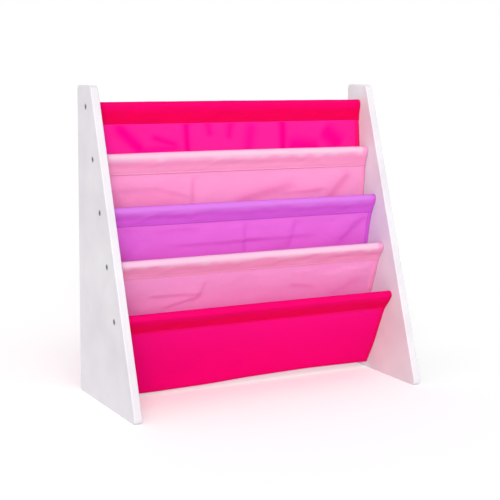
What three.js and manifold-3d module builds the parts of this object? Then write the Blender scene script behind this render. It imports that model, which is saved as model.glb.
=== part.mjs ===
// Sling bookshelf for a child's room: two side panels, five rods screwed between them, and a cloth
// sling that hangs on the rods and makes four book pockets.
// Millimetres. X runs across the rack, +Y points to its back, +Z is up. The origin is on the floor,
// under the middle of the rack.
import * as THREE from 'three';
import { mergeVertices } from 'three/addons/utils/BufferGeometryUtils.js';
import Module from 'manifold-3d';

const wasm = await Module();
wasm.setup();

// Side panels
const WIDTH = 635;
const HEIGHT = 605;
const FLOOR_EDGE = 278; // bottom edge of a panel before its corners are rounded
const TOP_EDGE = 69; // top edge of a panel before its corners are rounded
const PANEL = 16;
const CORNER_RADIUS = 9;
const EDGE_ROUND = 2;

// Rods, in a row parallel to the sloping front edges
const RODS = 5;
const TOP_ROD_DROP = 40; // from the top of the panels down to the top rod
const ROD_PITCH = 98; // height between neighbouring rods
const ROD_SETBACK = 39.3; // level distance from the front edge to a rod's centre
const ROD_DIAMETER = 14.3;
const ROD_CHAMFER = 0.8;

// Screws and the threaded inserts that they hold in
const HEAD_DIAMETER = 10.8;
const HEAD_THICKNESS = 2.4;
const HEAD_ROUND = 0.5;
const HEAD_RECESS = 0.2; // from a panel's outer face in to the head
const SOCKET_FLATS = 4;
const SOCKET_DEPTH = 1.6;
const SHANK_DIAMETER = 5;
const SHANK_GRIP = 12; // length of the shank inside its insert
const SHANK_POINT = 0.8;
const INSERT_DIAMETER = 8.4;
const INSERT_LENGTH = 14;

// Cloth
const CLOTH = 0.6;
const STITCH_DROP = 33.4; // from a rod's centre to the stitch line that closes its sleeve
const SLEEVE_SEAM = 3.5; // doubled cloth below the stitch line
const POCKET_DROP = 162.5; // height from a rod down to the seam of the divider that hangs on it
const DIVIDER_HEM = 10; // sewn flat to the back sheet below the seam
const FOLD_REACH = 77.5; // level distance from the front rod back to the bottom fold
const FOLD_HEIGHT = 12; // clear height under the fold
const FOLD_RADIUS = 3;
const FOLD_SAG = 6; // how much lower the fold hangs in the left third
const FOLD_SAG_SHARES = [0.7, 1, 0.85, 0.65, 0.1, -0.15, -0.35, -0.2, 0];
const CLOTH_SIDE_GAP = 1; // from the cloth's edge to a panel
const SIDE_DRAW = 1.5; // how much each side edge draws in half way down
const RIPPLE = 1.8; // height of the shallow vertical folds in a divider
const FRONT_RIPPLE = 1;
const RIPPLE_COUNTS = [2, 3]; // waves across the cloth, laid over each other

// Clearances
const FIT = 0.3;
const OVERRUN = 5; // how far a cutter runs past the face it cuts

// Faceting
const CORNER_STEPS = 6;
const EDGE_STEPS = 3;
const ROD_SIDES = 28;
const HOLE_SIDES = 20;
const SMALL_SIDES = 16;
const SLEEVE_STEPS = 12;
const COLUMNS = 24;
const SHEET_ROWS = 6;
const FOLD_STEPS = 5;

const WHITE_PAINT = { color: 0xf2eff1, roughness: 0.45, metalness: 0 };
const STEEL = { color: 0xa7a9ad, roughness: 0.35, metalness: 0.9 };
const BRASS = { color: 0xb9964f, roughness: 0.4, metalness: 0.9 };
const MAGENTA = { color: 0xf4006a, roughness: 0.85, metalness: 0 };
const LIGHT_PINK = { color: 0xff9cc4, roughness: 0.85, metalness: 0 };
const PURPLE = { color: 0xc268ea, roughness: 0.85, metalness: 0 };

const innerWidth = WIDTH - 2 * PANEL;
const clothWidth = innerWidth - 2 * CLOTH_SIDE_GAP;
const slope = (FLOOR_EDGE - TOP_EDGE) / HEIGHT;

// The rounded front bottom corner stops short of its sharp point, so the origin is set from the
// real extent of the panel.
const frontCornerHalfAngle = Math.atan2(1, slope) / 2;
const frontCornerShort = CORNER_RADIUS / Math.tan(frontCornerHalfAngle) - CORNER_RADIUS;
const backY = (FLOOR_EDGE - frontCornerShort) / 2;
const frontY = backY - FLOOR_EDGE;

// Places in the side view are 2D points: x there is the rack's Y, and y there is its Z.
const rods = Array.from({ length: RODS }, (_, i) => {
  const z = HEIGHT - TOP_ROD_DROP - i * ROD_PITCH;
  return new THREE.Vector2(frontY + slope * z + ROD_SETBACK, z);
});
const frontRod = rods.at(-1);

const turned = (vector, angle) => vector.clone().rotateAround(new THREE.Vector2(), angle);
const along = (from, direction, distance) => from.clone().addScaledVector(direction, distance);
const heading = (from, to) => to.clone().sub(from).normalize();
// The side of a downward line that faces the front of the rack
const facing = (direction) => new THREE.Vector2(direction.y, -direction.x);

// Where a line from a point touches a circle: side 1 passes behind it, and -1 in front of it.
function touchPoint(from, centre, radius, side) {
  const reach = centre.clone().sub(from);
  const angle = side * Math.asin(radius / reach.length());
  const tangent = turned(reach, angle).setLength(Math.sqrt(reach.lengthSq() - radius ** 2));
  return from.clone().add(tangent);
}

// The bottom fold, and the back and front sheets that run to it
const foldCentre = new THREE.Vector2(frontRod.x + FOLD_REACH, FOLD_HEIGHT + CLOTH / 2 + FOLD_RADIUS);
const foldBack = touchPoint(rods[0], foldCentre, FOLD_RADIUS, 1);
const foldFront = touchPoint(frontRod, foldCentre, FOLD_RADIUS, -1);
const backHeading = heading(rods[0], foldBack);

// Each rod's cloth hangs towards its own seam: the sheets to the fold, a divider to the back sheet.
function seamOnBackSheet(z) {
  const onSheet = along(rods[0], backHeading, (z - rods[0].y) / backHeading.y);
  return along(onSheet, facing(backHeading), CLOTH + FIT);
}
const seams = rods.map((rod, i) => {
  if (i === 0) return foldBack;
  return rod === frontRod ? foldFront : seamOnBackSheet(rod.y - POCKET_DROP);
});
const headings = rods.map((rod, i) => heading(rod, seams[i]));
const sleeveEnds = rods.map((rod, i) => along(rod, headings[i], STITCH_DROP + SLEEVE_SEAM));

// Geometry with shared vertices and without empty triangles, so that it is one closed body
function closed(geometry) {
  const bare = geometry.clone();
  bare.deleteAttribute('normal');
  bare.deleteAttribute('uv');
  const merged = mergeVertices(bare);
  const corners = merged.getIndex().array;
  const kept = [];
  for (let i = 0; i < corners.length; i += 3) {
    const [a, b, c] = corners.slice(i, i + 3);
    if (a !== b && b !== c && c !== a) kept.push(a, b, c);
  }
  merged.setIndex(kept);
  return merged;
}

function toSolid(geometry) {
  const body = closed(geometry);
  const vertProperties = new Float32Array(body.getAttribute('position').array);
  const triVerts = new Uint32Array(body.getIndex().array);
  return new wasm.Manifold(new wasm.Mesh({ numProp: 3, vertProperties, triVerts }));
}

function toGeometry(solid) {
  const { vertProperties, triVerts } = solid.getMesh();
  const geometry = new THREE.BufferGeometry();
  geometry.setAttribute('position', new THREE.BufferAttribute(vertProperties, 3));
  geometry.setIndex(Array.from(triVerts));
  return geometry;
}

function cut(geometry, cutters) {
  return toGeometry(cutters.reduce((solid, cutter) => solid.subtract(toSolid(cutter)), toSolid(geometry)));
}

function piece(name, geometry, finish) {
  geometry.computeVertexNormals();
  const mesh = new THREE.Mesh(geometry, new THREE.MeshStandardMaterial(finish));
  mesh.name = name;
  return mesh;
}

// A side-view outline run across the rack from the plane x = 0
function acrossWidth(shape, options) {
  const geometry = new THREE.ExtrudeGeometry(shape, options);
  return geometry.rotateY(Math.PI / 2).rotateX(Math.PI / 2);
}

// A profile of [radius, distance] pairs turned about an axis along +X
function turnedAlongX(profile, sides) {
  const points = profile.map(([radius, distance]) => new THREE.Vector2(radius, distance));
  return closed(new THREE.LatheGeometry(points, sides).rotateZ(-Math.PI / 2));
}

function roundedOutline(corners, radius) {
  return corners.flatMap((corner, i) => {
    const before = heading(corner, corners.at(i - 1));
    const after = heading(corner, corners[(i + 1) % corners.length]);
    const halfAngle = Math.acos(before.dot(after)) / 2;
    const centre = along(corner, before.clone().add(after).normalize(), radius / Math.sin(halfAngle));
    const start = along(corner, before, radius / Math.tan(halfAngle)).sub(centre);
    const sweep = Math.PI - 2 * halfAngle;
    return Array.from({ length: CORNER_STEPS + 1 }, (_, k) => (
      turned(start, sweep * k / CORNER_STEPS).add(centre)));
  });
}

// Depths along a rod's axis, counted from the outer face of the right panel inwards
const headSeat = HEAD_RECESS + HEAD_THICKNESS;
const counterboreDepth = headSeat + FIT;
const rodEnd = PANEL + FIT;
const shankEnd = rodEnd + FIT + SHANK_GRIP;
const insertEnd = rodEnd + FIT + INSERT_LENGTH;
const rodBoreEnd = insertEnd + FIT;
const shankHoleRadius = SHANK_DIAMETER / 2 + FIT;
const counterboreRadius = HEAD_DIAMETER / 2 + FIT;

function sidePanel(side) {
  const outline = [
    new THREE.Vector2(frontY, 0),
    new THREE.Vector2(backY, 0),
    new THREE.Vector2(backY, HEIGHT),
    new THREE.Vector2(backY - TOP_EDGE, HEIGHT),
  ];
  const board = acrossWidth(new THREE.Shape(roundedOutline(outline, CORNER_RADIUS)), {
    depth: PANEL - 2 * EDGE_ROUND,
    bevelThickness: EDGE_ROUND,
    bevelSize: EDGE_ROUND,
    bevelOffset: -EDGE_ROUND,
    bevelSegments: EDGE_STEPS,
  }).translate(EDGE_ROUND, 0, 0);
  const screwHole = turnedAlongX([
    [0, -OVERRUN],
    [shankHoleRadius, -OVERRUN],
    [shankHoleRadius, PANEL - counterboreDepth],
    [counterboreRadius, PANEL - counterboreDepth],
    [counterboreRadius, PANEL + OVERRUN],
    [0, PANEL + OVERRUN],
  ], HOLE_SIDES);
  if (side === 'left') screwHole.rotateZ(Math.PI).translate(PANEL, 0, 0);
  return cut(board, rods.map((rod) => screwHole.clone().translate(0, rod.x, rod.y)));
}

function rodSolid() {
  const end = WIDTH / 2 - rodEnd;
  const boreBottom = WIDTH / 2 - rodBoreEnd;
  const boreRadius = INSERT_DIAMETER / 2 + FIT;
  const radius = ROD_DIAMETER / 2;
  const half = [
    [0, boreBottom],
    [boreRadius, boreBottom],
    [boreRadius, end],
    [radius - ROD_CHAMFER, end],
    [radius, end - ROD_CHAMFER],
  ];
  const mirrored = half.map(([distance, place]) => [distance, -place]);
  return turnedAlongX([...mirrored, ...half.toReversed()], ROD_SIDES);
}

// Screws and inserts are drawn for the right panel, with depth 0 on its outer face.
function screw() {
  const headRadius = HEAD_DIAMETER / 2;
  const shankRadius = SHANK_DIAMETER / 2;
  const body = turnedAlongX([
    [0, -shankEnd],
    [shankRadius - SHANK_POINT, -shankEnd],
    [shankRadius, -shankEnd + SHANK_POINT],
    [shankRadius, -headSeat],
    [headRadius, -headSeat],
    [headRadius, -HEAD_RECESS - HEAD_ROUND],
    [headRadius - HEAD_ROUND, -HEAD_RECESS],
    [0, -HEAD_RECESS],
  ], SMALL_SIDES);
  const socketRadius = SOCKET_FLATS / 2 / Math.cos(Math.PI / 6);
  const socketLength = SOCKET_DEPTH + OVERRUN;
  const socket = new THREE.CylinderGeometry(socketRadius, socketRadius, socketLength, 6)
    .rotateZ(-Math.PI / 2)
    .translate(OVERRUN - HEAD_RECESS - socketLength / 2, 0, 0);
  return cut(body, [socket]);
}

function threadedInsert() {
  const boreRadius = SHANK_DIAMETER / 2 + FIT;
  const radius = INSERT_DIAMETER / 2;
  return turnedAlongX([
    [boreRadius, -insertEnd],
    [radius, -insertEnd],
    [radius, -rodEnd - FIT],
    [boreRadius, -rodEnd - FIT],
    [boreRadius, -insertEnd],
  ], SMALL_SIDES);
}

// Puts a right-hand fastener at each end of each rod; the left ones are turned half round.
function fasteners(kind, makeGeometry, finish) {
  return ['left', 'right'].flatMap((side) => rods.map((rod, i) => {
    const mesh = piece(`${side}_${kind}_${i + 1}`, makeGeometry(), finish);
    mesh.rotation.z = side === 'left' ? Math.PI : 0;
    mesh.position.set(side === 'left' ? -WIDTH / 2 : WIDTH / 2, rod.x, rod.y);
    return mesh;
  }));
}

// A sleeve's outer or inner skin over a rod: an arc that ends where straight runs leave it for a
// place at a half width from the middle and a distance below the rod's centre.
function sleeveArc(radius, halfWidth, distance) {
  const corner = new THREE.Vector2(halfWidth, -distance);
  const start = Math.atan2(corner.y, corner.x) + Math.acos(radius / corner.length());
  const sweep = Math.PI - 2 * start;
  return Array.from({ length: SLEEVE_STEPS + 1 }, (_, k) => (
    turned(new THREE.Vector2(radius, 0), start + sweep * k / SLEEVE_STEPS)));
}

function sleeveSolid(i) {
  const innerRadius = ROD_DIAMETER / 2 + FIT;
  const lean = headings[i].angle() + Math.PI / 2;
  const inRack = (points) => points.map((point) => turned(point, lean).add(rods[i]));
  const shape = new THREE.Shape(inRack([
    ...sleeveArc(innerRadius + CLOTH, CLOTH, STITCH_DROP),
    new THREE.Vector2(-CLOTH, -STITCH_DROP),
    new THREE.Vector2(-CLOTH, -STITCH_DROP - SLEEVE_SEAM),
    new THREE.Vector2(CLOTH, -STITCH_DROP - SLEEVE_SEAM),
    new THREE.Vector2(CLOTH, -STITCH_DROP),
  ]));
  shape.holes.push(new THREE.Path(inRack([
    ...sleeveArc(innerRadius, 0, STITCH_DROP),
    new THREE.Vector2(0, -STITCH_DROP),
  ])));
  return acrossWidth(shape, { depth: clothWidth, bevelEnabled: false }).translate(-clothWidth / 2, 0, 0);
}

const sagCurve = new THREE.CatmullRomCurve3(
  FOLD_SAG_SHARES.map((share, i) => new THREE.Vector3(i / (FOLD_SAG_SHARES.length - 1), share, 0)));
const foldSag = (across) => FOLD_SAG * sagCurve.getPoint(across).y;

// Shallow vertical folds, with a start that differs from sheet to sheet
function ripple(across, start) {
  const waves = RIPPLE_COUNTS.map((count) => Math.sin(2 * Math.PI * count * (across + start)));
  return waves.reduce((sum, wave) => sum + wave) / waves.length;
}

// A thin closed sheet hung along a side-view path. Each path point has a share from 0 at the sleeve
// to 1 at the seam, which says how far the sag, the ripple and the side draw have come.
function hungSheet(path, { rippleHeight, rippleStart, sags }) {
  const positions = [];
  const normals = path.map((_, j) => {
    const before = path[Math.max(j - 1, 0)].point;
    const after = path[Math.min(j + 1, path.length - 1)].point;
    return facing(heading(before, after));
  });
  for (const side of [1, -1]) {
    for (let i = 0; i <= COLUMNS; i++) {
      const across = i / COLUMNS;
      path.forEach(({ point, share }, j) => {
        const bulge = Math.sin(Math.PI * share);
        const rise = rippleHeight * bulge * ripple(across, rippleStart) + side * CLOTH / 2;
        const place = along(point, normals[j], rise);
        if (sags) place.addScaledVector(backHeading, share * foldSag(across));
        const width = clothWidth - 2 * SIDE_DRAW * bulge;
        positions.push((across - 1 / 2) * width, place.x, place.y);
      });
    }
  }
  const rows = path.length - 1;
  const vertex = (side, i, j) => (side * (COLUMNS + 1) + i) * (rows + 1) + j;
  const faces = [];
  const quad = (a, b, c, d) => faces.push(a, b, c, a, c, d);
  for (let i = 0; i < COLUMNS; i++) {
    for (let j = 0; j < rows; j++) {
      quad(vertex(0, i, j), vertex(0, i, j + 1), vertex(0, i + 1, j + 1), vertex(0, i + 1, j));
      quad(vertex(1, i, j), vertex(1, i + 1, j), vertex(1, i + 1, j + 1), vertex(1, i, j + 1));
    }
    quad(vertex(0, i + 1, rows), vertex(0, i, rows), vertex(1, i, rows), vertex(1, i + 1, rows));
    quad(vertex(0, i, 0), vertex(0, i + 1, 0), vertex(1, i + 1, 0), vertex(1, i, 0));
  }
  for (let j = 0; j < rows; j++) {
    quad(vertex(0, 0, j + 1), vertex(0, 0, j), vertex(1, 0, j), vertex(1, 0, j + 1));
    quad(vertex(0, COLUMNS, j), vertex(0, COLUMNS, j + 1), vertex(1, COLUMNS, j + 1), vertex(1, COLUMNS, j));
  }
  const geometry = new THREE.BufferGeometry();
  geometry.setAttribute('position', new THREE.Float32BufferAttribute(positions, 3));
  geometry.setIndex(faces);
  return geometry;
}

function straightRun(from, to) {
  return Array.from({ length: SHEET_ROWS + 1 }, (_, k) => (
    { point: from.clone().lerp(to, k / SHEET_ROWS), share: k / SHEET_ROWS }));
}

function backSheet() {
  const top = along(sleeveEnds[0], headings[0], FIT);
  const bottom = along(foldBack, backHeading, -FIT);
  return hungSheet(straightRun(top, bottom), { rippleHeight: 0, rippleStart: 0, sags: true });
}

function frontSheet() {
  const top = along(sleeveEnds.at(-1), headings.at(-1), FIT);
  const bottom = along(foldFront, headings.at(-1), -FIT);
  return hungSheet(straightRun(top, bottom), {
    rippleHeight: FRONT_RIPPLE, rippleStart: 1 / 2, sags: true,
  });
}

// The cloth turns round the bottom of the rack from the front sheet to the back sheet.
function bottomFold() {
  const start = foldFront.clone().sub(foldCentre);
  const sweep = foldBack.clone().sub(foldCentre).angle() + 2 * Math.PI - start.angle();
  const arc = Array.from({ length: FOLD_STEPS + 1 }, (_, k) => (
    { point: turned(start, sweep * k / FOLD_STEPS).add(foldCentre), share: 1 }));
  return hungSheet(arc, { rippleHeight: 0, rippleStart: 0, sags: true });
}

function divider(i) {
  const top = along(sleeveEnds[i], headings[i], FIT);
  const hemEnd = { point: along(seams[i], backHeading, DIVIDER_HEM), share: 1 };
  return hungSheet([...straightRun(top, seams[i]), hemEnd], {
    rippleHeight: RIPPLE, rippleStart: i / RODS, sags: false,
  });
}

const group = new THREE.Group();

const leftPanel = piece('left_side_panel', sidePanel('left'), WHITE_PAINT);
leftPanel.position.x = -WIDTH / 2;
const rightPanel = piece('right_side_panel', sidePanel('right'), WHITE_PAINT);
rightPanel.position.x = WIDTH / 2 - PANEL;
group.add(leftPanel, rightPanel);

rods.forEach((rod, i) => {
  const mesh = piece(`rod_${i + 1}`, rodSolid(), WHITE_PAINT);
  mesh.position.set(0, rod.x, rod.y);
  group.add(mesh);
});
group.add(...fasteners('screw', screw, STEEL));
group.add(...fasteners('insert', threadedInsert, BRASS));

const clothColours = [MAGENTA, LIGHT_PINK, PURPLE, LIGHT_PINK, MAGENTA];
rods.forEach((_, i) => group.add(piece(`sleeve_${i + 1}`, sleeveSolid(i), clothColours[i])));
group.add(piece('back_sheet', backSheet(), MAGENTA));
['upper_divider', 'middle_divider', 'lower_divider'].forEach((name, k) => {
  group.add(piece(name, divider(k + 1), clothColours[k + 1]));
});
group.add(piece('front_sheet', frontSheet(), MAGENTA));
group.add(piece('bottom_fold', bottomFold(), MAGENTA));

export default group;
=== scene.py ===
# The looks of a sling bookshelf: two white side panels, screws, and a cloth sling hung on five rods.
# Sizes and places are in millimetres in the row frame, and become metres where a mesh is made.
from math import acos, asin, atan2, cos, hypot, pi, radians, sin, sqrt, tan

import bmesh
import bpy
import numpy as np
from mathutils import Matrix, Vector, noise


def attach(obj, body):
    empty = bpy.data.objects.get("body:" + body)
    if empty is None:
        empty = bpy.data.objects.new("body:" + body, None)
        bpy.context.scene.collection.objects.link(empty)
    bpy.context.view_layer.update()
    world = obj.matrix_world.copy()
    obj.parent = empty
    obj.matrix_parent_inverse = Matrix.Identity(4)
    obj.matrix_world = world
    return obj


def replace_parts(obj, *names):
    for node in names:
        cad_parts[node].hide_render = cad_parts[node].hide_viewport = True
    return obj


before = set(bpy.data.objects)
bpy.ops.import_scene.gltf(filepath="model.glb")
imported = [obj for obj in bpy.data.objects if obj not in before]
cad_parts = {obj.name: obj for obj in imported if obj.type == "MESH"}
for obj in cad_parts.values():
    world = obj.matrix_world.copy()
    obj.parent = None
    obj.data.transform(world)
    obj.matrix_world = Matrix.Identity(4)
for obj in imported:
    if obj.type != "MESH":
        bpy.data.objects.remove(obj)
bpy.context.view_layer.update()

MM = 0.001

# The photograph's view: a long lens from the front left, a little above the rack
EYE = Vector((-1162.4, -2127.5, 667.5)) * MM
YAW, PITCH, ROLL = radians(28.461), radians(9.0475), radians(0.593)
LENS, SENSOR = 88.71, 36
FARTHEST = 100  # metres that the camera sees

# Side panels, rods and screws, as in the part's source
WIDTH, HEIGHT = 635, 605
FLOOR_EDGE, TOP_EDGE = 278, 69
PANEL, CORNER_RADIUS, EDGE_ROUND = 16, 9, 2
RODS, TOP_ROD_DROP, ROD_PITCH, ROD_SETBACK = 5, 40, 98, 39.3
ROD_RADIUS = 7.15
FIT = 0.3
HEAD_RADIUS, HEAD_THICKNESS, HEAD_ROUND, HEAD_RECESS = 5.4, 2.4, 0.6, 0.2
SOCKET_SIDES, SOCKET_FLATS, SOCKET_DEPTH = 6, 4, 1.6
SHANK_RADIUS, SHANK_POINT, SHANK_END = 2.5, 0.8, 28.6
HOLE_CHAMFER = 0.4
# Each screw stopped at its own angle, in radians: the top one's, and how much more each next one's is
TOP_SCREW_TURN, NEXT_SCREW_TURN = 0.5, 1.1
# Steps round each curve, and the angle past which a screw's edge looks sharp
CORNER_STEPS, EDGE_STEPS, HEAD_STEPS, ROUND_STEPS = 14, 5, 6, 48
SHARP = radians(35)
# How far a hole's cutter reaches past the board, how near an edge's ends are to lie at one X, and how near
# two points are to be merged
OVERSHOOT, SAME_X, SAME_POINT = 5, 0.01, 0.001

# The cloth sling
CLOTH, HEM_CLOTH = 0.5, 0.9  # thickness of single cloth and of turned-in cloth
LAYER = 0.8  # between the middles of two cloths that are sewn together
FLAP_ENDS = [34.5, 32.5, 31, 30, 31.5]  # from each rod's centre down to the edge of its sleeve's flap
FLAP_OVERLAP = 1  # how far the flap's edge hangs below the top of the wall behind it
STITCH_INSET, HEM_TURN = 2.1, 8  # from the flap's edge up to its stitches and to its turned-in edge
# How far below its rod a divider's seam starts, and how tall its hem is there
POCKET_DROP, DIVIDER_HEM = 162.5, 10
# The bottom fold: how far it is behind the lowest rod, its height over the floor and its radius
FOLD_REACH, FOLD_HEIGHT, FOLD_RADIUS = 77.5, 12, 3
CAD_CLOTH = 0.6  # the cloth's thickness in the part's source
# How much lower the bottom fold hangs at most, and its shares of that from the left edge to the right one
FOLD_SAG = 6
FOLD_SAG_SHARES = [0.7, 1, 0.85, 0.65, 0.1, -0.15, -0.35, -0.2, 0]
SAG_SAMPLES, SAG_SMOOTHING = 400, 61
CLOTH_HALF = 300.5
SLEEVE_RADIUS = ROD_RADIUS + FIT + CAD_CLOTH / 2

# The spacing of the rows of cloth: on the flap's edge, round a rod, just below a flap, where the cloth
# shows, where a divider or the back sheet is hidden, and on a divider's hem
EDGE_ROW, ROD_ROW, PUCKER_ROW, SEEN_ROW = 1, 2, 1.4, 2.6
HIDDEN_ROW, BACK_ROW, HEM_ROW = 3.2, 6.2, 2.5
# How tall the flap's edge is, and how far below the rod the rows below a flap and the seen rows end
EDGE_ROWS, PUCKER_ROWS_END, SEEN_END = 6, 42, 118
FOLD_STEPS = 8
MAIN_COLUMNS, DIVIDER_COLUMNS = 200, 220

STITCH_LENGTH, STITCH_PITCH = 2.9, 3.4
STITCH_SIDES, STITCH_RINGS = 8, 5
THREAD, THREAD_SUNK = 0.6, 0.15
# Where seams lie: their ends from the cloth's side edges, a side hem's seam from the hem's inner edge, its
# top below the flap and its foot above the cloth's end, and a divider's two seams from its hem's edges
SEAM_END, HEM_STITCH, HEM_SEAM_TOP, HEM_SEAM_FOOT, DIVIDER_STITCH = 3, 1.5, 3, 4, 2

# Patterns, as repeats to the metre: 1000 divided by the size in millimetres that is given beside it
PEELS = 480  # orange peel 2.1 mm across
CLOUDS = 11  # gloss that changes over a hand's breadth, 90 mm
SPOTS = 900  # dull spots 1.1 mm across
TWISTS = 3300  # lumps of a thread's twist, 0.3 mm
CRUMPLES = 55  # small crumples 18 mm across
SLUBS = (30, 400, 1)  # thicker stretches of the threads across, 33 mm long and 2.5 mm apart
# Real threads are about 0.25 mm apart. They are drawn 1 mm apart, so that a close view shows a weave.
THREADS = 1000
WAVE_BANDS = 20 / (2 * pi)  # how many bands a wave texture draws for each unit of its scale
# How much less light comes through where cloth is sewn double, and where shade is painted below the flaps
# and along dark creases
SEWN_DIMMER = 0.14


def hex_colour(code):
    """An sRGB hex value as the linear colour that the shaders take."""
    channels = [int(code[i:i + 2], 16) / 255 for i in (1, 3, 5)]
    return (*(c / 12.92 if c <= 0.04045 else ((c + 0.055) / 1.055) ** 2.4 for c in channels), 1)


def add(tree, kind, values=(), links=(), **properties):
    """Adds a node, with its properties, the values of its input sockets and the links into them."""
    node = tree.nodes.new(kind)
    for name, value in properties.items():
        setattr(node, name, value)
    for socket, value in dict(values).items():
        node.inputs[socket].default_value = value
    for socket, output in dict(links).items():
        tree.links.new(output, node.inputs[socket])
    return node


def new_tree(name):
    """A material and its empty node tree."""
    material = bpy.data.materials.new(name)
    material.use_nodes = True
    material.node_tree.nodes.clear()
    return material, material.node_tree


def new_piece(name, mesh, material):
    """A finished piece of the rack, on its only body."""
    piece = bpy.data.objects.new(name, mesh)
    bpy.context.scene.collection.objects.link(piece)
    mesh.materials.append(material)
    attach(piece, "root")
    return piece


# Camera
ahead = Vector((sin(YAW) * cos(PITCH), cos(YAW) * cos(PITCH), -sin(PITCH)))
level = Vector((cos(YAW), -sin(YAW), 0))
upright = level.cross(ahead)
right = cos(ROLL) * level + sin(ROLL) * upright
up = cos(ROLL) * upright - sin(ROLL) * level
camera = bpy.data.objects.new("camera", bpy.data.cameras.new("camera"))
camera.data.lens, camera.data.sensor_width, camera.data.clip_end = LENS, SENSOR, FARTHEST
camera.matrix_world = Matrix.Translation(EYE) @ Matrix((right, up, -ahead)).transposed().to_4x4()
bpy.context.scene.collection.objects.link(camera)
bpy.context.scene.camera = camera
bpy.context.scene.view_settings.view_transform = "Standard"


# Materials
def satin_paint(name, colour, palest="#ECEAED"):
    """White satin lacquer sprayed on board or turned wood: an even, soft gloss with a faint orange peel, and
    slightly uneven in gloss and tone."""
    material, tree = new_tree(name)
    place = add(tree, "ShaderNodeTexCoord").outputs["Object"]
    peel = add(tree, "ShaderNodeTexNoise", {"Scale": PEELS, "Detail": 2}, {"Vector": place}).outputs["Fac"]
    cloud = add(tree, "ShaderNodeTexNoise", {"Scale": CLOUDS, "Detail": 3}, {"Vector": place}).outputs["Fac"]
    bump = add(tree, "ShaderNodeBump", {"Strength": 0.06, "Distance": 0.0003}, {"Height": peel})
    gloss = add(tree, "ShaderNodeMapRange", {"To Min": 0.34, "To Max": 0.46}, {"Value": cloud})
    tone = add(tree, "ShaderNodeMixRGB", {"Color1": hex_colour(colour), "Color2": hex_colour(palest)},
               {"Fac": cloud})
    paint = add(tree, "ShaderNodeBsdfPrincipled", {"IOR": 1.5},
                {"Base Color": tone.outputs[0], "Roughness": gloss.outputs[0], "Normal": bump.outputs[0]})
    add(tree, "ShaderNodeOutputMaterial", links={"Surface": paint.outputs[0]})
    return material


def turned_metal(name, colour, roughness):
    """Plated or turned metal: bright, with small dull spots that stand out a little."""
    material, tree = new_tree(name)
    place = add(tree, "ShaderNodeTexCoord").outputs["Object"]
    spots = add(tree, "ShaderNodeTexNoise", {"Scale": SPOTS, "Detail": 3}, {"Vector": place}).outputs["Fac"]
    gloss = add(tree, "ShaderNodeMapRange", {"To Min": roughness - 0.08, "To Max": roughness + 0.12},
                {"Value": spots})
    bump = add(tree, "ShaderNodeBump", {"Strength": 0.1, "Distance": 0.0001}, {"Height": spots})
    metal = add(tree, "ShaderNodeBsdfPrincipled", {"Base Color": hex_colour(colour), "Metallic": 1},
                {"Roughness": gloss.outputs[0], "Normal": bump.outputs[0]})
    add(tree, "ShaderNodeOutputMaterial", links={"Surface": metal.outputs[0]})
    return material


def woven_polyester(name, single, doubled_and_shade, over_rod, shine_through, sheer):
    """Thin plain-woven polyester: matt, and it lets some light through. Where it is sewn double it is deeper
    and less sheer, and the same deeper, less sheer colour is painted as shade just below the flaps and along
    the dark creases. Where it lies on a rod the white paint shows through it and makes it paler."""
    material, tree = new_tree(name)
    flat = add(tree, "ShaderNodeUVMap", uv_map="flat_cloth").outputs[0]
    # The mask of doubled cloth also carries painted shade below the flaps and along dark creases, and the
    # crease mask is painted shade along dark creases.
    layers_and_shade, contact, creases = (add(tree, "ShaderNodeAttribute", attribute_name=key).outputs["Fac"]
                                for key in ("doubled_and_shade", "over_rod", "crease_shade"))
    sewn = add(tree, "ShaderNodeMixRGB", {"Color1": hex_colour(single), "Color2": hex_colour(doubled_and_shade)},
               {"Fac": layers_and_shade})
    seen = add(tree, "ShaderNodeMixRGB", {"Color2": hex_colour(over_rod)},
               {"Fac": contact, "Color1": sewn.outputs[0]})
    warp, weft = (add(tree, "ShaderNodeTexWave", {"Scale": THREADS / WAVE_BANDS, "Distortion": 0.4},
                      {"Vector": flat}, bands_direction=way).outputs["Fac"] for way in ("X", "Y"))
    threads = add(tree, "ShaderNodeMath", links={0: warp, 1: weft}, operation="ADD")
    stretched = add(tree, "ShaderNodeMapping", {"Scale": SLUBS}, {"Vector": flat})
    slubs = add(tree, "ShaderNodeTexNoise", {"Scale": 1, "Detail": 2}, {"Vector": stretched.outputs[0]})
    uneven = add(tree, "ShaderNodeMapRange", {"To Min": 0.955, "To Max": 1.045},
                 {"Value": slubs.outputs["Fac"]})
    dyed = add(tree, "ShaderNodeVectorMath", links={0: seen.outputs[0], "Scale": uneven.outputs[0]},
               operation="SCALE")
    weave = add(tree, "ShaderNodeBump", {"Strength": 0.25, "Distance": 0.0001},
                {"Height": threads.outputs[0]})
    crumples = add(tree, "ShaderNodeTexNoise", {"Scale": CRUMPLES, "Detail": 3, "Roughness": 0.55},
                   {"Vector": flat})
    relief = add(tree, "ShaderNodeBump", {"Strength": 0.3, "Distance": 0.001},
                 {"Height": crumples.outputs["Fac"], "Normal": weave.outputs[0]})
    cloth = add(tree, "ShaderNodeBsdfPrincipled", {"Roughness": 0.85, "Specular IOR Level": 0.06},
                {"Base Color": dyed.outputs[0], "Normal": relief.outputs[0]})
    # Along the dark creases the light that comes through is deepened as painted shade, as if it had passed
    # the dyed cloth more than once.
    once = hex_colour(shine_through)
    often = (*(channel ** 3 for channel in once[:3]), 1)
    dye = add(tree, "ShaderNodeMixRGB", {"Color1": once, "Color2": often}, {"Fac": creases})
    through = add(tree, "ShaderNodeBsdfTranslucent",
                  links={"Color": dye.outputs[0], "Normal": relief.outputs[0]})
    thin = add(tree, "ShaderNodeMapRange", {"To Min": sheer, "To Max": sheer - SEWN_DIMMER},
               {"Value": layers_and_shade})
    mixed = add(tree, "ShaderNodeMixShader",
                links={0: thin.outputs[0], 1: cloth.outputs[0], 2: through.outputs[0]})
    add(tree, "ShaderNodeOutputMaterial", links={"Surface": mixed.outputs[0]})
    return material


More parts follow.
